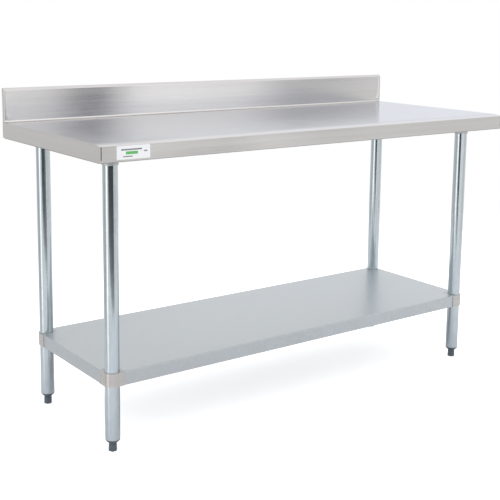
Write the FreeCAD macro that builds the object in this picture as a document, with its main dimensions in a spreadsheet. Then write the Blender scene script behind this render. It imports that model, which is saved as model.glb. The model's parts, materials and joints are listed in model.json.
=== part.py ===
"""Stainless work table with a raised rear splash, tube legs, an adjustable undershelf
and screw-in levelling feet.

+X runs along the table's length, +Y towards the splash and +Z up. The origin is on the floor,
under the middle of the table. Lengths are in millimetres.
"""
import FreeCAD, Part
import math
import os

import Sketcher

DOC = FreeCAD.newDocument("WorkTable")

DIMENSIONS = [
    # worktop sheet and splash
    ("top_length", 1524.0),
    ("top_depth", 609.6),
    ("work_height", 863.6),
    ("top_gauge", 1.2),
    ("apron_depth", 47.6),
    ("apron_corner", 5.0),
    ("return_flange", 15.0),
    ("edge_slope_width", 37.0),
    ("edge_slope_drop", 3.8),
    ("splash_height", 101.6),
    ("splash_depth", 15.9),
    ("splash_slope", 6.5),
    ("splash_return", 25.0),
    ("bend_radius", 2.2),
    ("cove_radius", 6.0),
    ("rear_strip_width", 45.0),
    # channels under the worktop
    ("channel_height", 15.0),
    ("channel_gauge", 1.5),
    ("channel_crown", 66.0),
    ("channel_flange", 18.0),
    ("cross_channel_length", 504.0),
    ("long_channel_length", 1240.0),
    # legs and their sockets
    ("leg_spacing", 1356.0),
    ("leg_front", -203.0),
    ("leg_rear", 210.0),
    ("tube_diameter", 41.275),
    ("tube_gauge", 1.2),
    ("tube_bottom", 34.5),
    ("tube_top", 844.4),
    ("socket_plate", 62.0),
    ("socket_plate_gauge", 2.5),
    ("socket_diameter", 45.2),
    ("socket_bore", 41.58),
    ("socket_rim", 795.0),
    ("socket_boss", 14.0),
    ("socket_boss_reach", 29.0),
    ("socket_screw_height", 827.0),
    ("screw_diameter", 8.0),
    ("screw_key", 4.0),
    ("screw_length", 8.0),
    ("thread_clearance", 0.02),
    # undershelf
    ("shelf_height", 227.6),
    ("shelf_gauge", 1.2),
    ("shelf_apron", 39.1),
    ("shelf_return", 12.0),
    ("shelf_inset", 22.4),
    ("shelf_notch", 25.0),
    ("notch_relief", 12.0),
    ("relief_roof", 2.0),
    ("stiffener_length", 1260.0),
    ("collar_gauge", 1.8),
    ("collar_reach", 28.0),
    ("collar_corner", 2.5),
    ("collar_drop", 1.0),
    ("saddle_height", 32.0),
    ("saddle_drop", 0.6),
    ("saddle_outer", 22.0),
    ("shelf_screw_length", 13.0),
    ("shelf_screw_start", 21.2),
    # levelling feet
    ("foot_height", 21.7),
    ("foot_across_flats", 21.4),
    ("foot_taper", 0.8),
    ("foot_bore_floor", 6.0),
    ("foot_turn", 53.0),
    ("insert_neck", 22.4),
    ("insert_shoulder", 40.4),
    ("insert_plug", 38.6),
    ("insert_shoulder_height", 34.3),
    ("insert_lip", 2.8),
    ("insert_top", 60.0),
    ("stud_diameter", 12.0),
    ("stud_bottom", 6.4),
    ("stud_top", 74.0),
    ("moving_clearance", 0.05),
    ("rest_gap", 0.3),
    # plain sticker on the front apron
    ("label_width", 98.0),
    ("label_height", 35.0),
    ("label_gauge", 0.2),
    ("label_centre", -665.0),
    ("label_bottom", 822.0),
]

SHEET = DOC.addObject("Spreadsheet::Sheet", "Spec")
for row, (alias, number) in enumerate(DIMENSIONS, start=1):
    SHEET.set(f"A{row}", alias)
    SHEET.set(f"B{row}", str(number))
    SHEET.setAlias(f"B{row}", alias)
DOC.recompute()

SUBPARTS = []

# Expressions for places that several sub-parts share.
FRONT = "-Spec.top_depth / 2"
REAR = "Spec.top_depth / 2"
TOP = "Spec.work_height"
UNDERSIDE = "Spec.work_height - Spec.top_gauge"
HEM = "Spec.work_height - Spec.apron_depth"
SPLASH_FACE = "Spec.top_depth / 2 - Spec.splash_depth"
SPLASH_TOP = "Spec.work_height + Spec.splash_height"
TOP_END = "Spec.top_length / 2"
REAR_LENGTH = "Spec.top_length - 2 * Spec.return_flange - 1"
CROWN = "Spec.work_height - Spec.top_gauge - Spec.channel_height"
SHELF_UNDERSIDE = "Spec.shelf_height - Spec.shelf_gauge"
SHELF_HEM = "Spec.shelf_height - Spec.shelf_apron"
SHELF_END = "Spec.leg_spacing / 2 + Spec.shelf_inset"
SHELF_FRONT = "Spec.leg_front - Spec.shelf_inset"
SHELF_REAR = "Spec.leg_rear + Spec.shelf_inset"
NOTCH_END = "Spec.leg_spacing / 2 - Spec.shelf_notch"
NOTCH_FRONT = "Spec.leg_front + Spec.shelf_notch"
NOTCH_REAR = "Spec.leg_rear - Spec.shelf_notch"
SADDLE_TOP = "Spec.shelf_height - Spec.saddle_drop"
SHELF_SCREW_HEIGHT = "Spec.shelf_height - Spec.saddle_drop - Spec.saddle_height / 2"

# Corner name: side of the table in X, row of legs in Y, and the quarter turns that aim
# a piece's +X+Y quadrant at the middle of the table.
CORNERS = {
    "front_left": (-1, "Spec.leg_front", 0),
    "front_right": (1, "Spec.leg_front", 1),
    "rear_right": (1, "Spec.leg_rear", 2),
    "rear_left": (-1, "Spec.leg_rear", 3),
}


# ---------------------------------------------------------------- modelling helpers

ALONG_X = FreeCAD.Vector(1, 0, 0)
ALONG_Y = FreeCAD.Vector(0, 1, 0)
ALONG_Z = FreeCAD.Vector(0, 0, 1)


def size(alias):
    """A driving dimension as a number, for the few places that cannot hold an expression."""
    return float(SHEET.get(alias))


def negated(expression):
    return f"-({expression})"


def bind(feature, prop, value):
    """Set a property to a number or to an expression of the spreadsheet."""
    if isinstance(value, str):
        feature.setExpression(prop, value)
    else:
        setattr(feature, prop, value)


def new_body(node):
    body = DOC.addObject("PartDesign::Body", "Body_" + node)
    body.Label = node
    SUBPARTS.append(body)
    return body


def origin_plane(body, role):
    for feature in body.Origin.OriginFeatures:
        if feature.Role == role:
            return feature
    raise ValueError(role)


def new_sketch(body, name, role, offset=None):
    """A sketch on an origin plane of its body, moved along the plane's normal by offset."""
    sketch = body.newObject("Sketcher::SketchObject", name)
    sketch.AttachmentSupport = (origin_plane(body, role), "")
    sketch.MapMode = "FlatFace"
    if offset is not None:
        sketch.setExpression("AttachmentOffset.Base.z", offset)
    return sketch


def pin_point(sketch, geometry, position, across, up):
    """Pin one point of the sketch at the expressions for its two coordinates."""
    for kind, expression in (("DistanceX", across), ("DistanceY", up)):
        number = sketch.addConstraint(Sketcher.Constraint(kind, -1, 1, geometry, position, 1.0))
        sketch.setExpression(f"Constraints[{number}]", expression)


def add_outline(sketch, corners):
    """A closed outline of straight lines through the corners, each pinned by its expressions."""
    first = len(sketch.Geometry)
    count = len(corners)
    start = [FreeCAD.Vector(50 * math.cos(2 * math.pi * i / count),
                            50 * math.sin(2 * math.pi * i / count), 0) for i in range(count)]
    for i in range(count):
        sketch.addGeometry(Part.LineSegment(start[i], start[(i + 1) % count]))
    for i in range(count):
        sketch.addConstraint(
            Sketcher.Constraint("Coincident", first + i, 2, first + (i + 1) % count, 1))
    for i, (across, up) in enumerate(corners):
        pin_point(sketch, first + i, 1, across, up)


def add_rectangle(sketch, left, right, bottom, top):
    add_outline(sketch, [(left, bottom), (right, bottom), (right, top), (left, top)])


def add_circle(sketch, radius, up="0"):
    """A circle centred on the sketch's upright axis."""
    circle = sketch.addGeometry(Part.Circle(FreeCAD.Vector(0, 0, 0), ALONG_Z, 5.0))
    pin_point(sketch, circle, 3, "0", up)
    number = sketch.addConstraint(Sketcher.Constraint("Radius", circle, 5.0))
    sketch.setExpression(f"Constraints[{number}]", radius)


def add_hexagon(sketch, across_flats, turn):
    """A regular hexagon about the sketch's origin, with a corner at the turn in degrees."""
    reach = f"({across_flats}) / 2 / cos(30 deg)"
    corners = []
    for i in range(6):
        angle = f"(({turn} + {60 * i}) * 1 deg)"
        corners.append((f"{reach} * cos{angle}", f"{reach} * sin{angle}"))
    add_outline(sketch, corners)


def pad(body, sketch, length, symmetric=False, reversed_way=False):
    feature = body.newObject("PartDesign::Pad", sketch.Name + "_pad")
    feature.Profile = sketch
    feature.SideType = "Symmetric" if symmetric else "One side"
    feature.Reversed = reversed_way
    bind(feature, "Length", length)
    sketch.Visibility = False
    DOC.recompute()
    return feature


def pocket(body, sketch, length, symmetric=False, reversed_way=False):
    """Cut the sketch out of the body, and stop if the cut misses the solid."""
    before = body.Shape.Volume
    feature = body.newObject("PartDesign::Pocket", sketch.Name + "_cut")
    feature.Profile = sketch
    feature.SideType = "Symmetric" if symmetric else "One side"
    feature.Reversed = reversed_way
    bind(feature, "Length", length)
    DOC.recompute()
    if body.Shape.Volume > before - 0.01:
        raise RuntimeError(f"{sketch.Name} in {body.Label} cuts nothing")
    return feature


def mirror_in_x(body, features):
    """Repeat features on the other side of the YZ plane."""
    feature = body.newObject("PartDesign::Mirrored", features[-1].Name + "_mirror")
    feature.Originals = features
    feature.MirrorPlane = (origin_plane(body, "YZ_Plane"), [""])
    body.Tip = feature
    DOC.recompute()
    return feature


def straight_edges(shape, direction, places):
    """Names of the edges along direction whose middle passes near one of the places.

    A place is a pair of coordinates across the direction, in X, Y, Z order.
    """
    names = []
    for number, edge in enumerate(shape.Edges, start=1):
        if edge.Curve.TypeId != "Part::GeomLine":
            continue
        along = edge.tangentAt(edge.FirstParameter)
        if abs(abs(along.dot(direction)) - 1) > 1e-6:
            continue
        middle = edge.CenterOfMass
        pair = [value for value, part in zip(middle, direction) if abs(part) < 0.5]
        for place in places:
            if math.hypot(pair[0] - place[0], pair[1] - place[1]) < 0.05:
                names.append(f"Edge{number}")
                break
    return names


def round_edges(body, direction, places, radius):
    """Fillet the straight edges of the body's last solid at the given places."""
    names = straight_edges(body.Shape, direction, places)
    if len(names) < len(places):
        raise RuntimeError(f"{body.Label}: found {len(names)} of {len(places)} edges")
    base = body.Tip
    feature = body.newObject("PartDesign::Fillet", base.Name + "_bend")
    feature.Base = (base, names)
    bind(feature, "Radius", radius)
    DOC.recompute()
    return feature


def place_at_leg(feature, side, row, height=None, turn=0.0):
    """Stand a sub-part on a leg's axis, turned about it."""
    feature.Placement.Rotation = FreeCAD.Rotation(ALONG_Z, turn)
    feature.setExpression("Placement.Base.x", f"{side} * Spec.leg_spacing / 2")
    feature.setExpression("Placement.Base.y", row)
    if height is not None:
        feature.setExpression("Placement.Base.z", height)


# ---------------------------------------------------------------- worktop

# How far the inside of the splash's sloped edge is set back from its outside, at either end.
INNER_SLOPE = "0.4 * Spec.top_gauge"


def make_worktop():
    """One folded sheet: hem, front apron, sloped edge, top, splash and the splash's return."""
    body = new_body("worktop")
    fold = new_sketch(body, "Worktop_fold", "YZ_Plane")
    add_outline(fold, [
        (f"{FRONT} + Spec.return_flange", HEM),
        (FRONT, HEM),
        (FRONT, f"{TOP} - Spec.edge_slope_drop"),
        (f"{FRONT} + Spec.edge_slope_width", TOP),
        (SPLASH_FACE, TOP),
        (SPLASH_FACE, f"{SPLASH_TOP} - Spec.splash_slope"),
        (f"{SPLASH_FACE} + Spec.splash_slope", SPLASH_TOP),
        (REAR, SPLASH_TOP),
        (REAR, f"{SPLASH_TOP} - Spec.splash_return"),
        (f"{REAR} - Spec.top_gauge", f"{SPLASH_TOP} - Spec.splash_return"),
        (f"{REAR} - Spec.top_gauge", f"{SPLASH_TOP} - Spec.top_gauge"),
        (f"{SPLASH_FACE} + Spec.splash_slope + {INNER_SLOPE}", f"{SPLASH_TOP} - Spec.top_gauge"),
        (f"{SPLASH_FACE} + Spec.top_gauge", f"{SPLASH_TOP} - Spec.splash_slope - {INNER_SLOPE}"),
        (f"{SPLASH_FACE} + Spec.top_gauge", UNDERSIDE),
        (f"{FRONT} + Spec.edge_slope_width", UNDERSIDE),
        (f"{FRONT} + Spec.top_gauge", f"{UNDERSIDE} - Spec.edge_slope_drop"),
        (f"{FRONT} + Spec.top_gauge", f"{HEM} + Spec.top_gauge"),
        (f"{FRONT} + Spec.return_flange", f"{HEM} + Spec.top_gauge"),
    ])
    pad(body, fold, "Spec.top_length", symmetric=True)

    corner = new_sketch(body, "Front_apron_corner", "XZ_Plane")
    add_outline(corner, [
        (negated(TOP_END), HEM),
        (f"-{TOP_END} + Spec.apron_corner", HEM),
        (negated(TOP_END), f"{HEM} + Spec.apron_corner"),
    ])
    cut = pocket(body, corner, "Spec.top_depth", symmetric=True)
    mirror_in_x(body, [cut])

    side = new_sketch(body, "Side_apron", "YZ_Plane", offset=negated(TOP_END))
    add_outline(side, [
        (f"{FRONT} + Spec.apron_corner", HEM),
        (f"{REAR} - Spec.apron_corner", HEM),
        (REAR, f"{HEM} + Spec.apron_corner"),
        (REAR, TOP),
        (f"{FRONT} + Spec.edge_slope_width", TOP),
        (FRONT, f"{TOP} - Spec.edge_slope_drop"),
        (FRONT, f"{HEM} + Spec.apron_corner"),
    ])
    side_pad = pad(body, side, "Spec.top_gauge")

    hem = new_sketch(body, "Side_hem", "XY_Plane", offset=HEM)
    add_rectangle(hem, negated(TOP_END), f"-{TOP_END} + Spec.return_flange",
                  f"{FRONT} + Spec.apron_corner", f"{REAR} - Spec.apron_corner")
    hem_pad = pad(body, hem, "Spec.top_gauge")
    mirror_in_x(body, [side_pad, hem_pad])

    front = -size("top_depth") / 2
    splash_face = size("top_depth") / 2 - size("splash_depth")
    rear = size("top_depth") / 2
    top = size("work_height")
    gauge = size("top_gauge")
    end = size("top_length") / 2
    splash_top = top + size("splash_height")
    round_edges(body, ALONG_X, [(splash_face, top)], "Spec.cove_radius")
    round_edges(body, ALONG_X, [(splash_face + gauge, top - gauge)],
                "Spec.cove_radius + Spec.top_gauge")
    round_edges(body, ALONG_X, [
        (splash_face, splash_top - size("splash_slope")),
        (splash_face + size("splash_slope"), splash_top),
        (rear, splash_top),
    ], "Spec.bend_radius")
    round_edges(body, ALONG_X, [(front, top - size("edge_slope_drop"))], "Spec.bend_radius")
    round_edges(body, ALONG_X, [(front, top - size("apron_depth"))], "Spec.bend_radius / 2")
    hem_height = top - size("apron_depth")
    round_edges(body, ALONG_Y, [(-end, hem_height), (end, hem_height)], "Spec.bend_radius / 2")


def make_splash_end_cap(node, side):
    """The plate that closes one end of the splash channel."""
    body = new_body(node)
    outer_face = f"{side} * {TOP_END}"
    plate = new_sketch(body, "Cap_" + node, "YZ_Plane", offset=outer_face)
    add_outline(plate, [
        (f"{SPLASH_FACE} + Spec.top_gauge", TOP),
        (f"{REAR} - Spec.top_gauge", TOP),
        (f"{REAR} - Spec.top_gauge", f"{SPLASH_TOP} - Spec.top_gauge"),
        (f"{SPLASH_FACE} + Spec.splash_slope + {INNER_SLOPE}", f"{SPLASH_TOP} - Spec.top_gauge"),
        (f"{SPLASH_FACE} + Spec.top_gauge", f"{SPLASH_TOP} - Spec.splash_slope - {INNER_SLOPE}"),
    ])
    pad(body, plate, "Spec.top_gauge", reversed_way=side > 0)


def make_rear_strip():
    """Flat weld strip under the splash, from the worktop's underside to the rear apron."""
    body = new_body("rear_strip")
    strip = new_sketch(body, "Rear_strip", "XY_Plane", offset=UNDERSIDE)
    half_length = f"({REAR_LENGTH}) / 2"
    add_rectangle(strip, negated(half_length), half_length,
                  f"{REAR} - Spec.rear_strip_width", REAR)
    pad(body, strip, "Spec.top_gauge", reversed_way=True)


def make_rear_apron():
    """Channel along the rear, welded under the rear strip."""
    body = new_body("rear_apron")
    channel = new_sketch(body, "Rear_channel", "YZ_Plane")
    roof = f"{UNDERSIDE} - Spec.top_gauge"
    add_outline(channel, [
        (REAR, HEM),
        (REAR, roof),
        (f"{REAR} - Spec.return_flange", roof),
        (f"{REAR} - Spec.return_flange", f"{roof} - Spec.top_gauge"),
        (f"{REAR} - Spec.top_gauge", f"{roof} - Spec.top_gauge"),
        (f"{REAR} - Spec.top_gauge", f"{HEM} + Spec.top_gauge"),
        (f"{REAR} - Spec.return_flange", f"{HEM} + Spec.top_gauge"),
        (f"{REAR} - Spec.return_flange", HEM),
    ])
    pad(body, channel, REAR_LENGTH, symmetric=True)


def add_hat(sketch, centre, roof):
    """Hat section below the height roof: two flanges against the sheet and a crown below."""
    half_crown = "Spec.channel_crown / 2"
    half_width = "(Spec.channel_crown / 2 + Spec.channel_flange)"
    add_outline(sketch, [
        (f"{centre} - {half_width}", roof),
        (f"{centre} - {half_crown} + Spec.channel_gauge", roof),
        (f"{centre} - {half_crown} + Spec.channel_gauge",
         f"{roof} - Spec.channel_height + Spec.channel_gauge"),
        (f"{centre} + {half_crown} - Spec.channel_gauge",
         f"{roof} - Spec.channel_height + Spec.channel_gauge"),
        (f"{centre} + {half_crown} - Spec.channel_gauge", roof),
        (f"{centre} + {half_width}", roof),
        (f"{centre} + {half_width}", f"{roof} - Spec.channel_gauge"),
        (f"{centre} + {half_crown}", f"{roof} - Spec.channel_gauge"),
        (f"{centre} + {half_crown}", f"{roof} - Spec.channel_height"),
        (f"{centre} - {half_crown}", f"{roof} - Spec.channel_height"),
        (f"{centre} - {half_crown}", f"{roof} - Spec.channel_gauge"),
        (f"{centre} - {half_width}", f"{roof} - Spec.channel_gauge"),
    ])


def make_lengthwise_channel(node, length, roof):
    """Hat channel along X, midway between the two rows of legs."""
    body = new_body(node)
    profile = new_sketch(body, "Hat_" + node, "YZ_Plane")
    add_hat(profile, "(Spec.leg_front + Spec.leg_rear) / 2", roof)
    pad(body, profile, length, symmetric=True)


def make_cross_channel(node, side):
    """Hat channel across the table that carries one end's two leg sockets."""
    body = new_body(node)
    profile = new_sketch(body, "Hat_" + node, "XZ_Plane")
    add_hat(profile, f"{side} * Spec.leg_spacing / 2", UNDERSIDE)
    pad(body, profile, "Spec.cross_channel_length", symmetric=True)
    body.setExpression("Placement.Base.y", "(Spec.leg_front + Spec.leg_rear) / 2")


def make_label():
    """Thin rectangular sticker on the front apron."""
    label = DOC.addObject("Part::Box", "Label_plate")
    label.Label = "front_label"
    bind(label, "Length", "Spec.label_width")
    bind(label, "Width", "Spec.label_gauge")
    bind(label, "Height", "Spec.label_height")
    bind(label, "Placement.Base.x", "Spec.label_centre - Spec.label_width / 2")
    bind(label, "Placement.Base.y", f"{FRONT} - Spec.label_gauge")
    bind(label, "Placement.Base.z", "Spec.label_bottom")
    SUBPARTS.append(label)


# ---------------------------------------------------------------- legs

def make_leg_socket(node, side, row):
    """Plate under the cross channel with a tube that holds the leg, and a screw boss inwards."""
    body = new_body(node)
    plate = new_sketch(body, "Plate_" + node, "XY_Plane", offset=CROWN)
    half = "Spec.socket_plate / 2"
    add_rectangle(plate, negated(half), half, negated(half), half)
    pad(body, plate, "Spec.socket_plate_gauge", reversed_way=True)

    ring = new_sketch(body, "Ring_" + node, "XY_Plane", offset="Spec.socket_rim")
    add_circle(ring, "Spec.socket_diameter / 2")
    pad(body, ring, f"{CROWN} - Spec.socket_rim")

    boss = new_sketch(body, "Boss_" + node, "YZ_Plane")
    add_circle(boss, "Spec.socket_boss / 2", up="Spec.socket_screw_height")
    pad(body, boss, "Spec.socket_boss_reach")

    bore = new_sketch(body, "Bore_" + node, "XY_Plane", offset="Spec.socket_rim")
    add_circle(bore, "Spec.socket_bore / 2")
    pocket(body, bore, f"{CROWN} - Spec.socket_plate_gauge - Spec.socket_rim", reversed_way=True)

    thread = new_sketch(body, "Thread_" + node, "YZ_Plane")
    add_circle(thread, "Spec.screw_diameter / 2", up="Spec.socket_screw_height")
    pocket(body, thread, "Spec.socket_boss_reach", reversed_way=True)
    place_at_leg(body, side, row, turn=0.0 if side < 0 else 180.0)


def make_leg_tube(node, side, row):
    body = new_body(node)
    ring = new_sketch(body, "Tube_" + node, "XY_Plane", offset="Spec.tube_bottom")
    add_circle(ring, "Spec.tube_diameter / 2")
    add_circle(ring, "Spec.tube_diameter / 2 - Spec.tube_gauge")
    pad(body, ring, "Spec.tube_top - Spec.tube_bottom")
    place_at_leg(body, side, row)


def make_set_screw(name, length, start, height, side, row, turn):
    """A socket set screw that points away from a leg's axis, turned about that axis."""
    shank = DOC.addObject("Part::Cylinder", name + "_shank")
    bind(shank, "Radius", "Spec.screw_diameter / 2")
    bind(shank, "Height", length)
    key = DOC.addObject("Part::Prism", name + "_key")
    key.Polygon = 6
    bind(key, "Circumradius", "Spec.screw_key / 2 / cos(30 deg)")
    bind(key, "Height", length)
    bind(key, "Placement.Base.z", f"{length} * 0.6")
    screw = DOC.addObject("Part::Cut", name)
    screw.Base = shank
    screw.Tool = key
    out = FreeCAD.Rotation(ALONG_Z, turn)
    screw.Placement.Rotation = out.multiply(FreeCAD.Rotation(ALONG_Y, 90))
    along_x = f"({start}) * cos({turn} * 1 deg)"
    along_y = f"({start}) * sin({turn} * 1 deg)"
    bind(screw, "Placement.Base.x", f"{side} * Spec.leg_spacing / 2 + {along_x}")
    bind(screw, "Placement.Base.y", f"{row} + {along_y}")
    bind(screw, "Placement.Base.z", height)
    return screw


def make_group(node, members):
    """Identical fasteners as one sub-part of separate solids."""
    group = DOC.addObject("Part::Compound", "Group_" + node)
    group.Label = node
    group.Links = members
    SUBPARTS.append(group)


# ---------------------------------------------------------------- undershelf

def shelf_outline(inset):
    """Shelf outline with a square notch at each corner, inset towards the middle all round."""
    end = f"({SHELF_END} - {inset})"
    notch_end = f"({NOTCH_END} - {inset})"
    front = f"({SHELF_FRONT} + {inset})"
    rear = f"({SHELF_REAR} - {inset})"
    notch_front = f"({NOTCH_FRONT} + {inset})"
    notch_rear = f"({NOTCH_REAR} - {inset})"
    return [
        (negated(notch_end), front), (notch_end, front), (notch_end, notch_front),
        (end, notch_front), (end, notch_rear), (notch_end, notch_rear),
        (notch_end, rear), (negated(notch_end), rear), (negated(notch_end), notch_rear),
        (negated(end), notch_rear), (negated(end), notch_front), (negated(notch_end), notch_front),
    ]


def make_shelf_pan():
    """Folded pan: flat top, aprons down all round, inward hems and open inside corners."""
    body = new_body("shelf_pan")
    outer = new_sketch(body, "Shelf_outer", "XY_Plane", offset="Spec.shelf_height")
    add_outline(outer, shelf_outline("0"))
    pad(body, outer, "Spec.shelf_apron", reversed_way=True)
    round_edges(body, ALONG_X, [
        (size("leg_front") - size("shelf_inset"), size("shelf_height")),
        (size("leg_rear") + size("shelf_inset"), size("shelf_height")),
    ], "Spec.bend_radius")
    end = size("leg_spacing") / 2 + size("shelf_inset")
    round_edges(body, ALONG_Y, [(-end, size("shelf_height")), (end, size("shelf_height"))],
                "Spec.bend_radius")

    inner = new_sketch(body, "Shelf_inner", "XY_Plane", offset=SHELF_UNDERSIDE)
    add_outline(inner, shelf_outline("Spec.shelf_gauge"))
    pocket(body, inner, "Spec.shelf_apron")

    relief = new_sketch(body, "Notch_relief", "XY_Plane",
                        offset=f"{SHELF_UNDERSIDE} - Spec.relief_roof")
    for side in (-1, 1):
        inside = f"{side} * ({NOTCH_END} - Spec.notch_relief / 2)"
        outside = f"{side} * ({NOTCH_END} + Spec.notch_relief / 2)"
        add_rectangle(relief, inside, outside, f"{NOTCH_FRONT} - Spec.notch_relief / 2",
                      f"{NOTCH_FRONT} + Spec.notch_relief / 2")
        add_rectangle(relief, inside, outside, f"{NOTCH_REAR} - Spec.notch_relief / 2",
                      f"{NOTCH_REAR} + Spec.notch_relief / 2")
    pocket(body, relief, "Spec.shelf_apron")

    hems = new_sketch(body, "Shelf_hems", "XY_Plane", offset=SHELF_HEM)
    reach = "(Spec.shelf_return + Spec.shelf_gauge)"
    side_reach = f"({NOTCH_END} - Spec.shelf_return)"
    add_rectangle(hems, negated(side_reach), side_reach, SHELF_FRONT, f"{SHELF_FRONT} + {reach}")
    add_rectangle(hems, negated(side_reach), side_reach, f"{SHELF_REAR} - {reach}", SHELF_REAR)
    for side in (-1, 1):
        add_rectangle(hems, f"{side} * ({SHELF_END})", f"{side} * ({SHELF_END} - {reach})",
                      f"{NOTCH_FRONT} + Spec.shelf_return", f"{NOTCH_REAR} - Spec.shelf_return")
    pad(body, hems, "Spec.shelf_gauge")


def make_collar(node, side, row, row_side):
    """Strip bent round the outside of a leg, its rounded ends lapping over the shelf's aprons."""
    body = new_body(node)
    inner = "Spec.shelf_inset"
    outer = "(Spec.shelf_inset + Spec.collar_gauge)"
    strip = new_sketch(body, "Strip_" + node, "XY_Plane", offset=SHELF_HEM)
    add_outline(strip, [
        (f"{-side} * Spec.collar_reach", f"{row_side} * {outer}"),
        (f"{side} * {outer}", f"{row_side} * {outer}"),
        (f"{side} * {outer}", f"{-row_side} * Spec.collar_reach"),
        (f"{side} * {inner}", f"{-row_side} * Spec.collar_reach"),
        (f"{side} * {inner}", f"{row_side} * {inner}"),
        (f"{-side} * Spec.collar_reach", f"{row_side} * {inner}"),
    ])
    pad(body, strip, "Spec.shelf_apron - Spec.collar_drop")
    bend = size("shelf_inset")
    skin = bend + size("collar_gauge")
    round_edges(body, ALONG_Z, [(side * skin, row_side * skin)], "Spec.shelf_inset + Spec.collar_gauge")
    round_edges(body, ALONG_Z, [(side * bend, row_side * bend)], "Spec.shelf_inset")
    low = size("shelf_height") - size("shelf_apron")
    high = size("shelf_height") - size("collar_drop")
    reach = size("collar_reach")
    round_edges(body, ALONG_Y, [(-side * reach, low), (-side * reach, high)], "Spec.collar_corner")
    round_edges(body, ALONG_X, [(-row_side * reach, low), (-row_side * reach, high)],
                "Spec.collar_corner")
    place_at_leg(body, side, row)


def make_saddle(node, side, row, quarter):
    """Block round the leg that fills the shelf's notch, tapped on the diagonal for its set screw."""
    body = new_body(node)
    tip = "Spec.shelf_notch * sqrt(2)"
    across = "(Spec.shelf_notch + Spec.saddle_outer) / sqrt(2)"
    middle = "(Spec.shelf_notch - Spec.saddle_outer) / sqrt(2)"
    block = new_sketch(body, "Block_" + node, "XY_Plane", offset=SADDLE_TOP)
    add_outline(block, [
        (tip, "0"), (middle, across), ("-Spec.saddle_outer * sqrt(2)", "0"), (middle, negated(across)),
    ])
    pad(body, block, "Spec.saddle_height", reversed_way=True)
    round_edges(body, ALONG_Z, [(-size("saddle_outer") * math.sqrt(2), 0.0)], "Spec.saddle_outer")
    hollow = new_sketch(body, "Hollow_" + node, "XY_Plane", offset="Spec.shelf_height")
    add_circle(hollow, "Spec.tube_diameter / 2 + Spec.rest_gap")
    pocket(body, hollow, "Spec.shelf_apron")
    thread = new_sketch(body, "Thread_" + node, "YZ_Plane")
    add_circle(thread, "Spec.screw_diameter / 2 + Spec.thread_clearance", up=SHELF_SCREW_HEIGHT)
    pocket(body, thread, "Spec.shelf_notch * 2", reversed_way=True)
    place_at_leg(body, side, row, turn=45.0 + 90.0 * quarter)


# ---------------------------------------------------------------- levelling feet

def make_foot_insert(node, side, row):
    """Plug in the tube's end that tapers to the foot and carries its thread."""
    body = new_body(node)
    half = new_sketch(body, "Half_" + node, "XZ_Plane")
    bore = "Spec.stud_diameter / 2 + Spec.moving_clearance"
    add_outline(half, [
        (bore, "Spec.foot_height + Spec.rest_gap"),
        ("Spec.insert_neck / 2", "Spec.foot_height + Spec.rest_gap"),
        ("Spec.insert_shoulder / 2", "Spec.insert_shoulder_height - Spec.insert_lip"),
        ("Spec.insert_shoulder / 2", "Spec.insert_shoulder_height"),
        ("Spec.insert_plug / 2", "Spec.insert_shoulder_height"),
        ("Spec.insert_plug / 2", "Spec.insert_top"),
        (bore, "Spec.insert_top"),
    ])
    turned = body.newObject("PartDesign::Revolution", "Turned_" + node)
    turned.Profile = half
    turned.ReferenceAxis = (half, ["V_Axis"])
    turned.Angle = 360.0
    DOC.recompute()
    place_at_leg(body, side, row)


def make_foot_stud(node, side, row):
    stud = DOC.addObject("Part::Cylinder", "Stud_" + node)
    stud.Label = node
    bind(stud, "Radius", "Spec.stud_diameter / 2")
    bind(stud, "Height", "Spec.stud_top - Spec.stud_bottom")
    place_at_leg(stud, side, row, height="Spec.stud_bottom")
    SUBPARTS.append(stud)


def make_hex_foot(node, side, row):
    """Six-sided foot, a little wider at the floor, with a blind bore for the stud."""
    body = new_body(node)
    base = new_sketch(body, "Base_" + node, "XY_Plane")
    add_hexagon(base, "Spec.foot_across_flats", "Spec.foot_turn")
    prism = pad(body, base, "Spec.foot_height")
    bind(prism, "TaperAngle", "-Spec.foot_taper")
    DOC.recompute()
    bore = new_sketch(body, "Bore_" + node, "XY_Plane", offset="Spec.foot_bore_floor")
    add_circle(bore, "Spec.stud_diameter / 2 + Spec.moving_clearance")
    pocket(body, bore, "Spec.foot_height", reversed_way=True)
    place_at_leg(body, side, row)


# ---------------------------------------------------------------- assembly

make_worktop()
make_splash_end_cap("splash_end_cap_left", -1)
make_splash_end_cap("splash_end_cap_right", 1)
make_rear_strip()
make_rear_apron()
make_lengthwise_channel("top_hat_channel", "Spec.long_channel_length", UNDERSIDE)
make_cross_channel("cross_channel_left", -1)
make_cross_channel("cross_channel_right", 1)
make_label()
make_shelf_pan()
make_lengthwise_channel("shelf_hat_channel", "Spec.stiffener_length", SHELF_UNDERSIDE)

socket_screws = []
shelf_screws = []
for corner, (side, row, quarter) in CORNERS.items():
    inward = 0.0 if side < 0 else 180.0
    diagonal = 45.0 + 90.0 * quarter
    row_side = -1 if row == "Spec.leg_front" else 1
    make_leg_socket(f"leg_socket_{corner}", side, row)
    make_leg_tube(f"leg_tube_{corner}", side, row)
    make_foot_insert(f"foot_insert_{corner}", side, row)
    make_foot_stud(f"foot_stud_{corner}", side, row)
    make_hex_foot(f"hex_foot_{corner}", side, row)
    make_collar(f"shelf_collar_{corner}", side, row, row_side)
    make_saddle(f"shelf_saddle_{corner}", side, row, quarter)
    socket_screws.append(make_set_screw(
        f"Socket_screw_{corner}", "Spec.screw_length", "Spec.tube_diameter / 2",
        "Spec.socket_screw_height", side, row, inward))
    shelf_screws.append(make_set_screw(
        f"Shelf_screw_{corner}", "Spec.shelf_screw_length", "Spec.shelf_screw_start",
        SHELF_SCREW_HEIGHT, side, row, diagonal))
make_group("socket_set_screws", socket_screws)
make_group("shelf_set_screws", shelf_screws)
DOC.recompute()


# ---------------------------------------------------------------- check and write

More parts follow.
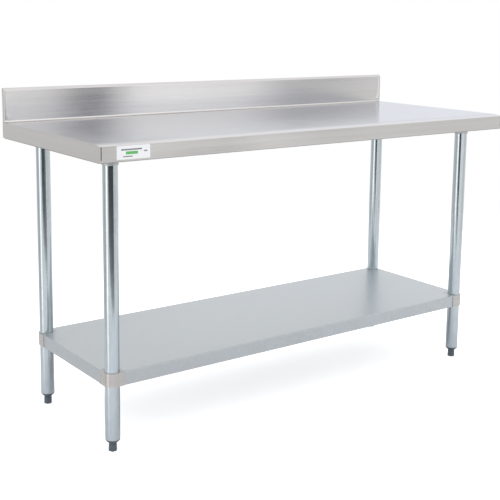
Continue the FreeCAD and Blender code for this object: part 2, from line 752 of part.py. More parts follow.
for feature in DOC.Objects:
    if "Invalid" in feature.State or "Error" in feature.State:
        raise RuntimeError(f"{feature.Label} failed: {feature.State}")
for part in SUBPARTS:
    if part.Shape.isNull() or not part.Shape.isValid() or not part.Shape.Solids:
        raise RuntimeError(f"{part.Label} has no valid solid")

os.makedirs("parts", exist_ok=True)
for part in SUBPARTS:
    part.Shape.exportStep(f"parts/{part.Label}.step")
    print(f"{part.Label}: {len(part.Shape.Solids)} solid, {part.Shape.Volume / 1000:.1f} cm3")
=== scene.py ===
"""Looks of the stainless work table: materials, detail pieces, studio and camera.

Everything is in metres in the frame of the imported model: +X along the table, +Y towards the
splash, +Z up, with the origin on the floor under the middle of the table.
"""
import json
import math

import bmesh
import bpy
from mathutils import Matrix, Vector


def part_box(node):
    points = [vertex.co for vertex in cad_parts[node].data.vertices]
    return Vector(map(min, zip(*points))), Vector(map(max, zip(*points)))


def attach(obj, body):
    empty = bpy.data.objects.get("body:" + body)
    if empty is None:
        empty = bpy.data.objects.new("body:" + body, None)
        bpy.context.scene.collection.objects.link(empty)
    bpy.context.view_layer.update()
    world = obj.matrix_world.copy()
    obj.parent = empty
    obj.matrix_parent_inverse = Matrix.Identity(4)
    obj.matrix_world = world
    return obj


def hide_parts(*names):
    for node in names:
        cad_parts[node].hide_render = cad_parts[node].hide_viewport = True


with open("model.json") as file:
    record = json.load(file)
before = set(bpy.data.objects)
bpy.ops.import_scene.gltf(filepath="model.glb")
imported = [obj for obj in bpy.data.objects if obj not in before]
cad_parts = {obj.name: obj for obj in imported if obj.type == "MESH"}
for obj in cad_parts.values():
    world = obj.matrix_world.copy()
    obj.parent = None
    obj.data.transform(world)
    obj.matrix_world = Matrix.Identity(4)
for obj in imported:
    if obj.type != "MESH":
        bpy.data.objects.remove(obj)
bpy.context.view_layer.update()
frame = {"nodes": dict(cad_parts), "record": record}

CORNERS = ("front_left", "front_right", "rear_right", "rear_left")
ENDS = ((-1, "left"), (1, "right"))
SCENE = bpy.context.scene

# Sizes that the pieces share.
SHEET_GAUGE = 0.0012
CORNER_RADIUS = 0.0038
THREAD_PITCH = 0.00175


# ---------------------------------------------------------------- node helpers

class Graph:
    """A short way to build one node tree."""

    def __init__(self, tree):
        self.tree = tree
        tree.nodes.clear()

    def add(self, kind, settings=None, **inputs):
        """Add a node; settings are its properties and inputs its sockets by name or number."""
        node = self.tree.nodes.new(kind)
        for name, value in (settings or {}).items():
            setattr(node, name, value)
        for name, value in inputs.items():
            key = int(name[1:]) if name[0] == "_" else name.replace("__", " ")
            self.feed(node.inputs[key], value)
        return node

    def feed(self, socket, value):
        if isinstance(value, bpy.types.NodeSocket):
            self.tree.links.new(value, socket)
        else:
            socket.default_value = value

    def math(self, operation, first, second=0.0):
        return self.add("ShaderNodeMath", {"operation": operation}, _0=first, _1=second).outputs[0]

    def vector(self, operation, first, second=(0.0, 0.0, 0.0)):
        node = self.add("ShaderNodeVectorMath", {"operation": operation}, _0=first, _1=second)
        return node.outputs[0]

    def mix(self, factor, first, second):
        """Blend two colours."""
        node = self.tree.nodes.new("ShaderNodeMix")
        node.data_type = "RGBA"
        self.feed(node.inputs["Factor"], factor)
        self.feed(node.inputs[6], first)
        self.feed(node.inputs[7], second)
        return node.outputs[2]

    def spread(self, value, low, high, out_low, out_high):
        """Map a number from one range to another, held at the ends."""
        node = self.add("ShaderNodeMapRange", {}, Value=value)
        limits = {"From Min": low, "From Max": high, "To Min": out_low, "To Max": out_high}
        for name, number in limits.items():
            node.inputs[name].default_value = number
        return node.outputs[0]

    def noise(self, where, scale, detail=3.0, roughness=0.5):
        node = self.add("ShaderNodeTexNoise", {}, Vector=where, Scale=scale, Detail=detail,
                        Roughness=roughness)
        return node.outputs["Fac"]

    def stretched(self, where, scale):
        """Coordinates multiplied by one factor along each axis."""
        return self.vector("MULTIPLY", where, scale)

    def ramp(self, value, stops):
        """A colour ramp with (place, grey or colour) stops."""
        node = self.add("ShaderNodeValToRGB", {}, Fac=value)
        elements = node.color_ramp.elements
        while len(elements) < len(stops):
            elements.new(0.5)
        for element, (place, colour) in zip(elements, stops):
            element.position = place
            grey = isinstance(colour, (int, float))
            element.color = (colour, colour, colour, 1.0) if grey else (*colour, 1.0)
        return node.outputs["Color"]

    def bump(self, height, strength, distance):
        node = self.add("ShaderNodeBump", {}, Height=height, Strength=strength, Distance=distance)
        return node.outputs["Normal"]


def new_material(name):
    material = bpy.data.materials.new(name)
    material.use_nodes = True
    return material, Graph(material.node_tree)


def finish_material(graph, shader):
    output = graph.tree.nodes.new("ShaderNodeOutputMaterial")
    graph.tree.links.new(shader.outputs[0], output.inputs["Surface"])


def position(graph):
    """The point's place in the table's own frame at rest."""
    return graph.add("ShaderNodeTexCoord").outputs["Object"]


def axis_vector(graph, x, y, z):
    node = graph.add("ShaderNodeCombineXYZ")
    for socket, value in zip(node.inputs, (x, y, z)):
        graph.feed(socket, value)
    return node.outputs[0]


# ---------------------------------------------------------------- materials

def brushed_steel(name, colour, roughness, grain, anisotropy, contrast=0.05, turn_ends=False):
    """Stainless sheet brushed along one axis, with long fine streaks and faint handling marks.

    With turn_ends, faces that look along X carry the grain along Y, as a folded sheet does.
    """
    material, g = new_material(name)
    place = position(g)
    fine = [950.0 - 938.0 * abs(c) for c in grain]
    broad = [120.0 - 119.2 * abs(c) for c in grain]
    tangent = axis_vector(g, *grain)
    fine_place = g.stretched(place, fine)
    broad_place = g.stretched(place, broad)
    if turn_ends:
        normal = g.add("ShaderNodeNewGeometry").outputs["True Normal"]
        parts = g.add("ShaderNodeSeparateXYZ", {}, Vector=normal)
        on_end = g.math("GREATER_THAN", g.math("ABSOLUTE", parts.outputs[0]), 0.7)
        fine_place = g.mix(on_end, fine_place, g.stretched(place, (950.0, 12.0, 950.0)))
        broad_place = g.mix(on_end, broad_place, g.stretched(place, (120.0, 0.8, 120.0)))
        tangent = g.mix(on_end, tangent, axis_vector(g, 0.0, 1.0, 0.0))
    streaks = g.noise(fine_place, 1.0, 2.0, 0.6)
    bands = g.noise(broad_place, 1.0, 4.0, 0.55)
    marks = g.noise(place, 6.0, 5.0, 0.62)
    shade = g.math("ADD", g.math("MULTIPLY", streaks, 0.45), g.math("MULTIPLY", bands, 0.55))
    dark = tuple(c * (1.0 - contrast) for c in colour)
    light = tuple(min(1.0, c * (1.0 + contrast)) for c in colour)
    base = g.ramp(shade, [(0.3, dark), (0.7, light)])
    rough = g.math("ADD", g.spread(shade, 0.3, 0.7, roughness * 0.9, roughness * 1.1),
                   g.spread(marks, 0.35, 0.7, -0.01, 0.02))
    shader = g.add("ShaderNodeBsdfPrincipled", {}, Roughness=rough, Tangent=tangent)
    g.feed(shader.inputs["Base Color"], base)
    shader.inputs["Metallic"].default_value = 1.0
    shader.inputs["Anisotropic"].default_value = anisotropy
    # A quarter turn spreads the highlight across the grain.
    shader.inputs["Anisotropic Rotation"].default_value = 0.25
    g.feed(shader.inputs["Normal"], g.bump(streaks, 0.05, 0.0003))
    finish_material(g, shader)
    return material


def galvanised(name, colour, roughness, spangle, contrast=0.05, drawn=False):
    """Zinc-coated steel with a soft crystal spangle and cloudy patches of oxide.

    Drawn tube also carries fine lines down its length.
    """
    material, g = new_material(name)
    place = g.stretched(position(g), (1.0, 1.0, 0.4)) if drawn else position(g)
    warp = g.add("ShaderNodeTexNoise", {}, Vector=place, Scale=40.0, Detail=2.0)
    warped = g.vector("ADD", place, g.vector("MULTIPLY", warp.outputs["Color"], (0.012, 0.012, 0.012)))
    crystals = g.add("ShaderNodeTexVoronoi", {}, Vector=warped, Scale=1.0 / spangle)
    grains = g.add("ShaderNodeSeparateColor", {}, Color=crystals.outputs["Color"]).outputs[0]
    clouds = g.noise(place, 5.0, 4.0, 0.6)
    speck = g.noise(place, 240.0, 3.0, 0.6)
    shade = g.math("ADD", g.math("MULTIPLY", grains, 0.3),
                   g.math("ADD", g.math("MULTIPLY", clouds, 0.5), g.math("MULTIPLY", speck, 0.2)))
    dark = tuple(c * (1.0 - contrast) for c in colour)
    light = tuple(min(1.0, c * (1.0 + contrast)) for c in colour)
    base = g.ramp(shade, [(0.25, dark), (0.75, light)])
    rough = g.math("ADD", g.spread(grains, 0.0, 1.0, roughness * 0.9, roughness * 1.1),
                   g.spread(clouds, 0.3, 0.7, -0.02, 0.02))
    height = g.math("ADD", g.math("MULTIPLY", grains, 0.4), g.math("MULTIPLY", speck, 0.6))
    if drawn:
        lines = g.noise(g.stretched(position(g), (800.0, 800.0, 5.0)), 1.0, 2.0, 0.5)
        height = g.math("ADD", height, g.math("MULTIPLY", lines, 0.6))
    shader = g.add("ShaderNodeBsdfPrincipled", {}, Roughness=rough)
    g.feed(shader.inputs["Base Color"], base)
    shader.inputs["Metallic"].default_value = 1.0
    g.feed(shader.inputs["Normal"], g.bump(height, 0.04, 0.0003))
    finish_material(g, shader)
    return material


def cast_metal(name, colour, roughness, grit=900.0):
    """Tumbled die casting or plated steel with a fine pebbled skin."""
    material, g = new_material(name)
    place = position(g)
    pebbles = g.noise(place, grit, 3.0, 0.6)
    blotches = g.noise(place, 60.0, 3.0, 0.6)
    base = g.ramp(blotches, [(0.3, tuple(c * 0.85 for c in colour)), (0.7, tuple(colour))])
    shader = g.add("ShaderNodeBsdfPrincipled", {},
                   Roughness=g.spread(pebbles, 0.3, 0.7, roughness * 0.8, roughness * 1.2))
    g.feed(shader.inputs["Base Color"], base)
    shader.inputs["Metallic"].default_value = 0.9
    g.feed(shader.inputs["Normal"], g.bump(pebbles, 0.2, 0.0003))
    finish_material(g, shader)
    return material


def moulded_plastic(name, colour, roughness):
    """Slate-grey glass-filled plastic with a spark-eroded texture and paler scuffs low down."""
    material, g = new_material(name)
    place = position(g)
    grain = g.noise(place, 1600.0, 2.0, 0.7)
    scuffs = g.noise(g.stretched(place, (1.0, 1.0, 3.0)), 130.0, 4.0, 0.7)
    height = g.add("ShaderNodeSeparateXYZ", {}, Vector=place).outputs[2]
    low_down = g.spread(height, 0.0, 0.012, 0.5, 0.0)
    wear = g.math("MULTIPLY", g.spread(scuffs, 0.5, 0.75, 0.0, 1.0), low_down)
    base = g.mix(wear, (*colour, 1.0), (*(c * 1.8 for c in colour), 1.0))
    shader = g.add("ShaderNodeBsdfPrincipled", {},
                   Roughness=g.spread(grain, 0.3, 0.7, roughness * 0.85, roughness * 1.15))
    g.feed(shader.inputs["Base Color"], base)
    g.feed(shader.inputs["Normal"], g.bump(grain, 0.3, 0.0002))
    finish_material(g, shader)
    return material


def printed_film(name):
    """Plain white film with a green band, and short grey bars where print would be."""
    material, g = new_material(name)
    low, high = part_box("front_label")
    parts = g.add("ShaderNodeSeparateXYZ", {}, Vector=position(g))
    across = g.spread(parts.outputs[0], low.x, high.x, 0.0, 1.0)
    up = g.spread(parts.outputs[2], low.z, high.z, 0.0, 1.0)

    def patch(left, right, bottom, top):
        inside = g.math("MULTIPLY", g.math("GREATER_THAN", across, left), g.math("LESS_THAN", across, right))
        level = g.math("MULTIPLY", g.math("GREATER_THAN", up, bottom), g.math("LESS_THAN", up, top))
        return g.math("MULTIPLY", inside, level)

    fibre = g.noise(position(g), 2500.0, 2.0, 0.5)
    shade = g.ramp(fibre, [(0.3, (0.66, 0.67, 0.69)), (0.7, (0.70, 0.71, 0.735))])
    green = (0.09, 0.38, 0.10, 1.0)
    grey = (0.17, 0.175, 0.19, 1.0)
    prints = [
        (0.27, 0.63, 0.36, 0.58, green),
        (0.13, 0.75, 0.66, 0.77, grey),
        (0.19, 0.47, 0.17, 0.25, grey),
        (0.81, 0.91, 0.50, 0.60, grey),
    ]
    for left, right, bottom, top, ink in prints:
        shade = g.mix(patch(left, right, bottom, top), shade, ink)
    shader = g.add("ShaderNodeBsdfPrincipled", {}, Roughness=0.35)
    g.feed(shader.inputs["Base Color"], shade)
    g.feed(shader.inputs["Normal"], g.bump(fibre, 0.1, 0.0001))
    finish_material(g, shader)
    return material


STAINLESS = brushed_steel("Brushed_stainless", (0.645, 0.635, 0.63), 0.14, (1, 0, 0), 0.9,
                          contrast=0.06, turn_ends=True)
COLLAR_STEEL = brushed_steel("Collar_stainless", (0.54, 0.518, 0.507), 0.17, (1, 1, 0), 0.0, contrast=0.08)
WELD_STEEL = brushed_steel("Dressed_weld", (0.62, 0.61, 0.605), 0.16, (0, 0, 1), 0.0, contrast=0.06)
# Painted shade: dark grey for the hem strips, standing for the shade along the aprons' bottom bend.
HEM_PAINTED_SHADE = cast_metal("Hem_shade", (0.36, 0.355, 0.36), 0.40)
# Painted shadow: near-black for the strips that stand for the shadow inside the open corner joints.
SEAM_SHADE = cast_metal("Seam_painted_shadow", (0.16, 0.155, 0.15), 0.45)
GALVANISED = galvanised("Galvanised_sheet", (0.52, 0.552, 0.572), 0.34, 0.011)
GALVANISED_TUBE = galvanised("Galvanised_tube", (0.545, 0.605, 0.64), 0.13, 0.009, contrast=0.06, drawn=True)
CASTING = cast_metal("Die_casting", (0.66, 0.67, 0.68), 0.58)
ZINC = cast_metal("Zinc_plate", (0.55, 0.56, 0.58), 0.28, grit=1500.0)
PLASTIC = moulded_plastic("Foot_plastic", (0.074, 0.092, 0.114), 0.42)
FILM = printed_film("Sticker_film")

SLOT_MATERIALS = {
    "stainless": STAINLESS,
    "galvanised": GALVANISED,
    "galvanised_tube": GALVANISED_TUBE,
    "socket_casting": CASTING,
    "fastener_steel": ZINC,
    "foot_plastic": PLASTIC,
    "label_film": FILM,
}


# ---------------------------------------------------------------- mesh helpers

def add_piece(name, mesh, material, body, stands_for=()):
    """Put a mesh in the scene as a piece that rides on a body."""
    mesh.name = name
    mesh.materials.clear()
    mesh.materials.append(material)
    piece = bpy.data.objects.new(name, mesh)
    SCENE.collection.objects.link(piece)
    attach(piece, body)
    if stands_for:
        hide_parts(*stands_for)
    return piece


def finish_mesh(shape, sharp=30.0, bevel=0.0, segments=2):
    """A mesh from a bmesh, with its sharp edges rounded and its flat faces kept flat."""
    mesh = bpy.data.meshes.new("Work")
    bmesh.ops.recalc_face_normals(shape, faces=shape.faces)
    shape.to_mesh(mesh)
    shape.free()
    mesh.shade_smooth()
    mesh.set_sharp_from_angle(angle=math.radians(sharp))
    holder = bpy.data.objects.new("Work", mesh)
    SCENE.collection.objects.link(holder)
    if bevel:
        rounding = holder.modifiers.new("Rounding", "BEVEL")
        rounding.width = bevel
        rounding.segments = segments
        rounding.limit_method = "ANGLE"
        rounding.angle_limit = math.radians(sharp)
        rounding.harden_normals = True
    weighting = holder.modifiers.new("Weighting", "WEIGHTED_NORMAL")
    weighting.keep_sharp = True
    evaluated = holder.evaluated_get(bpy.context.evaluated_depsgraph_get())
    result = bpy.data.meshes.new_from_object(evaluated)
    bpy.data.objects.remove(holder)
    bpy.data.meshes.remove(mesh)
    return result


def copy_of(node):
    """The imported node's shape, with the triangles of each flat face joined into one."""
    shape = bmesh.new()
    shape.from_mesh(frame["nodes"][node].data)
    bmesh.ops.remove_doubles(shape, verts=shape.verts, dist=2e-6)
    bmesh.ops.dissolve_limit(shape, angle_limit=math.radians(0.6), use_dissolve_boundaries=False,
                             verts=shape.verts, edges=shape.edges)
    return shape


def round_some(shape, chosen, radius, segments=4):
    """Round the edges of a bmesh for which chosen(edge) holds."""
    edges = [edge for edge in shape.edges if chosen(edge)]
    bmesh.ops.bevel(shape, geom=edges, offset=radius, offset_type="OFFSET", segments=segments,
                    profile=0.5, affect="EDGES", clamp_overlap=True)


def lathe(profile, centre, segments=96):
    """A closed outline of (radius, height) points turned about a vertical axis at centre."""
    shape = bmesh.new()
    rings = []
    for radius, height in profile:
        ring = []
        for i in range(segments):
            angle = 2 * math.pi * i / segments
            ring.append(shape.verts.new((centre[0] + radius * math.cos(angle),
                                         centre[1] + radius * math.sin(angle), height)))
        rings.append(ring)
    for lower, upper in zip(rings, rings[1:] + rings[:1]):
        for i in range(segments):
            j = (i + 1) % segments
            shape.faces.new((lower[i], lower[j], upper[j], upper[i]))
    return shape


def rounded(points, radius, steps=3):
    """The (across, up) outline with each corner cut to a short arc."""
    out = []
    count = len(points)
    for i in range(count):
        here = Vector(points[i])
        before = Vector(points[i - 1]) - here
        after = Vector(points[(i + 1) % count]) - here
        reach = min(radius, before.length * 0.45, after.length * 0.45)
        start = here + before.normalized() * reach
        end = here + after.normalized() * reach
        for k in range(steps + 1):
            t = k / steps
            out.append((1 - t) ** 2 * start + 2 * t * (1 - t) * here + t ** 2 * end)
    return out


def bar(near, far):
    """A straight bar between two opposite corners."""
    shape = bmesh.new()
    bmesh.ops.create_cube(shape, size=1.0)
    for vert in shape.verts:
        vert.co = Vector([far[i] if vert.co[i] > 0 else near[i] for i in range(3)])
    return shape


def leg_axis(corner):
    """The middle of a corner's leg, in plan."""
    low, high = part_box(f"leg_tube_{corner}")
    return (low + high) / 2


# ---------------------------------------------------------------- pieces

def dress_nodes():
    """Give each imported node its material."""
    for entry in frame["record"]["subparts"]:
        node = frame["nodes"][entry["node"]]
        for slot in node.material_slots:
            slot.material = SLOT_MATERIALS[entry["material_slot"]]


def node_facts(node):
    """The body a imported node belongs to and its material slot."""
    record = frame["record"]
    body = next(name for name, members in record["behaviour"]["bodies"].items() if node in members)
    slot = next(e["material_slot"] for e in record["subparts"] if e["node"] == node)
    return body, slot


def soften(node, bevel, material=None, shape=None, segments=2):
    """Stand a copy of a node, with rounded edges, in its place."""
    body, slot = node_facts(node)
    mesh = finish_mesh(shape or copy_of(node), bevel=bevel, segments=segments)
    add_piece(f"soft_{node}", mesh, material or SLOT_MATERIALS[slot], body, [node])


def build_worktop():
    """The folded sheet with its end folds and front corners rounded."""
    low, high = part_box("worktop")
    shape = copy_of("worktop")
    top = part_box("splash_end_cap_left")[0].z

    def at_end(edge):
        return min(abs(v.co.x) for v in edge.verts) > high.x - 1e-5

    def on_end_fold(edge):
        a, b = (v.co for v in edge.verts)
        on_top = min(a.z, b.z) > top - 0.0045 and max(a.z, b.z) < top + 1e-5 and abs(a.y - b.y) > 0.002
        return at_end(edge) and on_top

    def on_corner(edge):
        a, b = (v.co for v in edge.verts)
        return at_end(edge) and max(a.y, b.y) < low.y + 1e-5 and abs(a.z - b.z) > 0.01

    round_some(shape, on_end_fold, 2 * SHEET_GAUGE)
    round_some(shape, on_corner, CORNER_RADIUS, segments=6)
    soften("worktop", SHEET_GAUGE * 0.3, shape=shape)


def build_corner_welds():
    """Dressed welds down the front corners of the worktop."""
    low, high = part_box("worktop")
    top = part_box("splash_end_cap_left")[0].z
    radius = CORNER_RADIUS
    proud = 0.00012
    sunk = 0.0004
    bottom_gap = 0.007
    top_gap = 0.0045
    points = 9
    for side, name in ENDS:
        shape = bmesh.new()
        rows = []
        for height in (low.z + bottom_gap, top - top_gap):
            row = []
            for reach in (radius + proud, radius - sunk):
                for i in range(points):
                    angle = math.radians(90 * i / (points - 1))
                    x = side * (high.x - radius + reach * math.cos(angle))
                    y = low.y + radius - reach * math.sin(angle)
                    row.append(shape.verts.new((x, y, height)))
            rows.append(row[:points] + row[:points - 1:-1])
        lower, upper = rows
        for i in range(len(lower)):
            j = (i + 1) % len(lower)
            shape.faces.new((lower[i], lower[j], upper[j], upper[i]))
        shape.faces.new(lower)
        shape.faces.new(upper)
        add_piece(f"corner_weld_{name}", finish_mesh(shape), WELD_STEEL, "table")


def build_corner_seam_shadows():
    """Dark strips just proud of the front face beside the front corners: a painted shadow for the open joints
    where the end aprons tuck behind the front one.
    """
    low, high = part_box("worktop")
    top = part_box("splash_end_cap_left")[0].z
    inner = high.x - CORNER_RADIUS - 0.0020
    outer = high.x - CORNER_RADIUS - 0.0002
    front, back = low.y - 0.0001, low.y + 0.0002
    bottom, crown = low.z + 0.0080, top - 0.0055
    for side, name in ENDS:
        shape = bar((side * inner, front, bottom), (side * outer, back, crown))
        # Painted shadow: the near-black strip stands for the shadow in the open joint.
        add_piece(f"corner_seam_shadow_{name}", finish_mesh(shape, bevel=0.00005), SEAM_SHADE, "table")


def build_hem_shade_strips():
    """Thin strips along the foot of the front and end aprons for the closed hem's rolled edge; their dark
    grey is painted shade for the shaded bend.
    """
    low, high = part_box("worktop")
    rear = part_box("rear_apron")[0].y
    proud = 0.0001
    deep = 0.0005
    bottom, crown = low.z + 0.0001, low.z + 0.0017
    spans = {
        "front": ((low.x + CORNER_RADIUS, low.y - proud), (high.x - CORNER_RADIUS, low.y + deep)),
        "left": ((low.x - proud, low.y + CORNER_RADIUS), (low.x + deep, rear)),
        "right": ((high.x - deep, low.y + CORNER_RADIUS), (high.x + proud, rear)),
    }
    for name, (near, far) in spans.items():
        shape = bar((*near, bottom), (*far, crown))
        # Painted shade: the strip's dark grey shows the shaded underside of the apron's bend.
        add_piece(f"hem_shade_strip_{name}", finish_mesh(shape, bevel=0.00009), HEM_PAINTED_SHADE, "table")


def build_splash_folds():
    """Rolled fold down each end of the splash, spreading into a dressed weld at the foot."""
    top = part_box("splash_end_cap_left")[0].z
    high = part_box("worktop")[1]
    root = high.y - 0.0158
    steps = 14
    # Height above the top, middle in from the end, half width and how far it stands out.
    rows = [(0.0045, 0.0165, 0.0040, 0.0002), (0.0085, 0.0155, 0.0120, 0.0012),
            (0.0140, 0.0140, 0.0110, 0.0014), (0.0220, 0.0112, 0.0084, 0.0011),
            (0.0340, 0.0088, 0.0062, 0.0009), (0.0600, 0.0078, 0.0054, 0.0008),
            (0.0900, 0.0074, 0.0050, 0.0007), (0.0945, 0.0073, 0.0044, 0.0001)]
    for side, name in ENDS:
        shape = bmesh.new()
        rings = []
        for height, inset, half_width, depth in rows:
            front = []
            for k in range(steps + 1):
                # It swells slowly from the splash, and drops straight back at the end cap.
                along = k / steps
                out = 0.5 - 0.5 * math.cos(math.pi * along)
                reach = inset + half_width * (1.0 - 2.0 * along)
                front.append(shape.verts.new((side * (high.x - reach), root - depth * out, top + height)))
            front.append(shape.verts.new((side * (high.x - inset + half_width), root, top + height)))
            rings.append(front)
        for lower, upper in zip(rings, rings[1:]):
            for k in range(steps + 2):
                j = (k + 1) % (steps + 2)
                shape.faces.new((lower[k], lower[j], upper[j], upper[k]))
        shape.faces.new(rings[0])
        shape.faces.new(rings[-1][::-1])
        add_piece(f"splash_fold_{name}", finish_mesh(shape, sharp=60.0), WELD_STEEL, "table")


def build_sticker():
    """Sticker with rounded corners."""
    low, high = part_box("front_label")
    corners = [(low.x, low.z), (high.x, low.z), (high.x, high.z), (low.x, high.z)]
    outline = rounded(corners, 0.003, steps=5)
    shape = bmesh.new()
    front = [shape.verts.new((p[0], low.y, p[1])) for p in outline]
    back = [shape.verts.new((p[0], high.y, p[1])) for p in outline]
    for i in range(len(front)):
        j = (i + 1) % len(front)
        shape.faces.new((front[i], front[j], back[j], back[i]))
    shape.faces.new(front)
    shape.faces.new(back[::-1])
    add_piece("sticker", finish_mesh(shape), FILM, "table", ["front_label"])


def build_tube(corner):
    """Round tube with slightly rolled ends."""
    low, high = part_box(f"leg_tube_{corner}")
    outer = (high.x - low.x) / 2
    inner = outer - SHEET_GAUGE
    profile = rounded([(inner, low.z), (outer, low.z), (outer, high.z), (inner, high.z)], 0.0005)
    shape = lathe(profile, leg_axis(corner), segments=128)
    add_piece(f"tube_{corner}", finish_mesh(shape), GALVANISED_TUBE, "table",
              [f"leg_tube_{corner}"])


def build_insert(corner):
    """Moulded plug: a rounded shoulder under the tube's end, then a cone down to the foot."""
    low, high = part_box(f"foot_insert_{corner}")
    shoulder = (high.x - low.x) / 2
    tube_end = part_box(f"leg_tube_{corner}")[0].z
    bore = 0.00605
    neck = 0.0112
    plug = shoulder - 0.0009
    profile = rounded([
        (bore, low.z), (neck, low.z), (neck + 0.0003, low.z + 0.0010), (shoulder - 0.0007, tube_end - 0.0036),
        (shoulder, tube_end - 0.0028), (shoulder, tube_end - 0.0003), (plug, tube_end - 0.0003),
        (plug, high.z), (bore, high.z),
    ], 0.0008)
    add_piece(f"insert_{corner}", finish_mesh(lathe(profile, leg_axis(corner)), sharp=50.0), PLASTIC,
              "table", [f"foot_insert_{corner}"])


def build_stud(corner):
    """Stud with a rolled thread that climbs one pitch per turn."""
    low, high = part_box(f"foot_stud_{corner}")
    centre = leg_axis(corner)
    crest = (high.x - low.x) / 2
    root = crest - 0.0010
    per_turn = 24
    per_pitch = 6
    rows = int((high.z - low.z) / THREAD_PITCH * per_pitch)
    shape = bmesh.new()
    grid = []
    for row in range(rows + 1):
        height = low.z + (high.z - low.z) * row / rows
        ring = []
        for i in range(per_turn):
            angle = 2 * math.pi * i / per_turn
            phase = (height / THREAD_PITCH - i / per_turn) % 1.0
            lift = min(1.0, 2.4 * min(phase, 1.0 - phase))
            ends = min(1.0, (height - low.z) / 0.001, (high.z - height) / 0.001)
            radius = root + (crest - root) * lift * ends
            ring.append(shape.verts.new((centre.x + radius * math.cos(angle),
                                         centre.y + radius * math.sin(angle), height)))
        grid.append(ring)
    for lower, upper in zip(grid, grid[1:]):
        for i in range(per_turn):
            j = (i + 1) % per_turn
            shape.faces.new((lower[i], lower[j], upper[j], upper[i]))
    shape.faces.new(grid[0][::-1])
    shape.faces.new(grid[-1])
    add_piece(f"stud_{corner}", finish_mesh(shape, sharp=50.0), ZINC, f"stud_{corner}",
              [f"foot_stud_{corner}"])


def build_hidden_metal():
    """Castings and channels with softened edges."""
    for corner in CORNERS:
        soften(f"leg_socket_{corner}", 0.0006)
        soften(f"shelf_saddle_{corner}", 0.0010)
        soften(f"hex_foot_{corner}", 0.0009, segments=3)
        soften(f"shelf_collar_{corner}", 0.0004, COLLAR_STEEL)
    for node in ("top_hat_channel", "shelf_hat_channel", "cross_channel_left", "cross_channel_right",
                 "shelf_pan", "rear_strip", "rear_apron", "splash_end_cap_left", "splash_end_cap_right"):
        soften(node, 0.0003)


dress_nodes()
build_worktop()
build_corner_welds()
build_corner_seam_shadows()
build_hem_shade_strips()
build_splash_folds()
build_sticker()
build_hidden_metal()
for corner in CORNERS:
    build_tube(corner)
    build_insert(corner)
    build_stud(corner)


# ---------------------------------------------------------------- studio and camera

# Brightness of the studio round the table, by compass turn in degrees: 0 is behind the
# table, along +Y, and 90 is along +X. WALLS is what stands above the floor's far edge,
# and FAR_FLOOR is the floor beyond the pale disc, below it.
WALLS = [
    (0, 0.60), (26, 0.46), (29.5, 0.66), (33, 0.98), (60, 1.10), (100, 0.96), (134, 0.90), (137.2, 0.96),
    (138.2, 0.62), (141.5, 0.66), (143.5, 1.24), (150.4, 1.44), (151.4, 0.20), (153.8, 0.20),
    (154.8, 1.12), (161, 1.12), (214, 1.05), (240, 0.95), (256, 0.95), (259, 2.0), (268, 2.0),
    (280, 0.95), (300, 0.54), (324, 0.76), (345, 0.78),
]
FAR_FLOOR = [
    (0, 0.80), (60, 0.86), (100, 0.95), (131, 0.76), (138, 0.86), (142.8, 1.00), (143.8, 0.52),
    (148, 0.68), (153, 0.90), (161, 1.00), (214, 1.05), (240, 0.95), (256, 0.95), (259, 2.0),
    (268, 2.0), (280, 0.95), (300, 0.54), (324, 0.70), (345, 0.74),
]

# The same for the soft boxes overhead.
OVERHEAD = [(0, 1.10), (136, 1.10), (144, 1.36), (156, 1.42), (166, 1.10)]

FLOOR_MIDDLE = (0.6, -0.1, 0.0)
FLOOR_RADIUS = 3.0


def make_floor():
    """A pale floor that fades out into the studio some way from the table."""
    mesh = bpy.data.meshes.new("Floor")
    shape = bmesh.new()
    bmesh.ops.create_circle(shape, cap_ends=True, radius=FLOOR_RADIUS, segments=96,
                            matrix=Matrix.Translation(FLOOR_MIDDLE))
    shape.to_mesh(mesh)
    shape.free()
    floor = bpy.data.objects.new("Floor", mesh)
    SCENE.collection.objects.link(floor)
    material, g = new_material("Pale_floor")
    # It is lit from its middle, and reaches least far towards the eye.
    away = g.add("ShaderNodeVectorMath", {"operation": "DISTANCE"}, _0=position(g), _1=FLOOR_MIDDLE)
    solid = g.ramp(g.math("DIVIDE", away.outputs["Value"], FLOOR_RADIUS), [
        (0.0, 1.0), (0.42, 1.0), (0.66, 0.5), (0.90, 0.0)])
    shader = g.add("ShaderNodeBsdfPrincipled", {}, Roughness=0.9)
    shader.inputs["Specular IOR Level"].default_value = 0.1
    # The eye sees its shadows softened, and the metal reflects it a little darker.
    path = g.add("ShaderNodeLightPath")
    g.feed(shader.inputs["Base Color"], g.mix(path.outputs["Is Glossy Ray"], (0.94, 0.94, 0.94, 1.0),
                                              (0.76, 0.765, 0.78, 1.0)))
    g.feed(shader.inputs["Emission Color"], (1.0, 1.0, 1.0, 1.0))
    g.feed(shader.inputs["Emission Strength"], g.math("MULTIPLY", path.outputs["Is Camera Ray"], 0.46))
    clear = g.add("ShaderNodeBsdfTransparent")
    blend = g.tree.nodes.new("ShaderNodeMixShader")
    g.feed(blend.inputs[0], solid)
    g.tree.links.new(clear.outputs[0], blend.inputs[1])
    g.tree.links.new(shader.outputs[0], blend.inputs[2])
    finish_material(g, blend)
    mesh.materials.append(material)


def make_screen():
    """A dark screen before the table, towards the eye, which only the shiny metal sees."""
    mesh = bpy.data.meshes.new("Dark_screen")
    right, left, base, top = -0.245, -2.93, 0.0, 0.75
    depth = -1.53
    mesh.from_pydata([(left, depth, base), (right, depth, base), (right, depth, top), (left, depth, top)],
                     [], [(0, 1, 2, 3)])
    screen = bpy.data.objects.new("Dark_screen", mesh)
    SCENE.collection.objects.link(screen)
    material, g = new_material("Dark_screen")
    height = g.add("ShaderNodeSeparateXYZ", {}, Vector=position(g)).outputs[2]
    glow = g.ramp(height, [(0.0, 0.45), (0.2, 0.20), (0.5, 0.08), (0.75, 0.07)])
    shader = g.add("ShaderNodeEmission", {}, Color=glow, Strength=1.0)
    finish_material(g, shader)
    mesh.materials.append(material)
    for kind in ("camera", "diffuse", "shadow", "transmission"):
        setattr(screen, f"visible_{kind}", False)


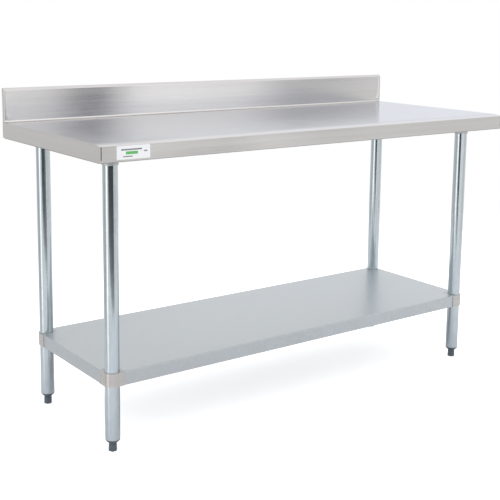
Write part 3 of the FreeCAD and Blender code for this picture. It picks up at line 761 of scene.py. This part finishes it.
def make_world():
    """White to the eye; in reflections a ring of soft boxes and dark gaps round the table."""
    world = bpy.data.worlds.new("Studio")
    world.use_nodes = True
    SCENE.world = world
    g = Graph(world.node_tree)
    direction = g.add("ShaderNodeTexCoord").outputs["Generated"]
    parts = g.add("ShaderNodeSeparateXYZ", {}, Vector=direction)
    turn = g.math("DIVIDE", g.math("ARCTAN2", parts.outputs[0], parts.outputs[1]), 2 * math.pi)
    turn = g.math("FRACT", g.math("ADD", turn, 1.0))
    walls = g.ramp(turn, [(degrees / 360, shade) for degrees, shade in WALLS])
    far_floor = g.ramp(turn, [(degrees / 360, shade) for degrees, shade in FAR_FLOOR])
    height = parts.outputs[2]
    ring = g.mix(g.spread(height, -0.105, -0.088, 0.0, 1.0), far_floor, walls)
    # The walls are a little cooler and dimmer above the worktop than below it.
    low_ring = g.stretched(ring, (1.012, 1.0, 0.99))
    high_ring = g.vector("ADD", g.stretched(ring, (0.88, 0.89, 0.90)), (-0.01, 0.016, 0.085))
    ring = g.mix(g.spread(height, -0.07, 0.09, 0.0, 1.0), low_ring, high_ring)
    overhead = g.stretched(g.ramp(turn, [(degrees / 360, shade) for degrees, shade in OVERHEAD]),
                           (1.0, 0.99, 0.98))
    reflected = g.mix(g.spread(height, 0.18, 0.32, 0.0, 1.0), ring, overhead)
    path = g.add("ShaderNodeLightPath")
    colour = g.mix(path.outputs["Is Diffuse Ray"], reflected, (1.32, 1.32, 1.32, 1.0))
    colour = g.mix(path.outputs["Is Camera Ray"], colour, (1.0, 1.0, 1.0, 1.0))
    background = g.add("ShaderNodeBackground", {}, Color=colour, Strength=1.0)
    output = g.tree.nodes.new("ShaderNodeOutputWorld")
    g.tree.links.new(background.outputs[0], output.inputs["Surface"])


def make_camera():
    """The eye stands before the table's left end, a little above the worktop."""
    data = bpy.data.cameras.new("Camera")
    data.sensor_width = 36.0
    data.lens = 71.57
    data.shift_y = -0.16
    data.clip_start = 0.05
    data.clip_end = 200.0
    camera = bpy.data.objects.new("Camera", data)
    camera.location = (-1.9187, -2.4986, 1.1914)
    yaw, pitch, roll = (math.radians(a) for a in (36.50, 8.94, 0.69))
    view = Vector((math.sin(yaw) * math.cos(pitch), math.cos(yaw) * math.cos(pitch), -math.sin(pitch)))
    right = Vector((math.cos(yaw), -math.sin(yaw), 0.0))
    up = right.cross(view)
    tilted_right = math.cos(roll) * right + math.sin(roll) * up
    tilted_up = math.cos(roll) * up - math.sin(roll) * right
    turn = Matrix((tilted_right, tilted_up, -view)).transposed()
    camera.rotation_mode = "QUATERNION"
    camera.rotation_quaternion = turn.to_quaternion()
    SCENE.collection.objects.link(camera)
    SCENE.camera = camera


SCENE.view_settings.view_transform = "Standard"
make_floor()
make_screen()
make_world()
make_camera()
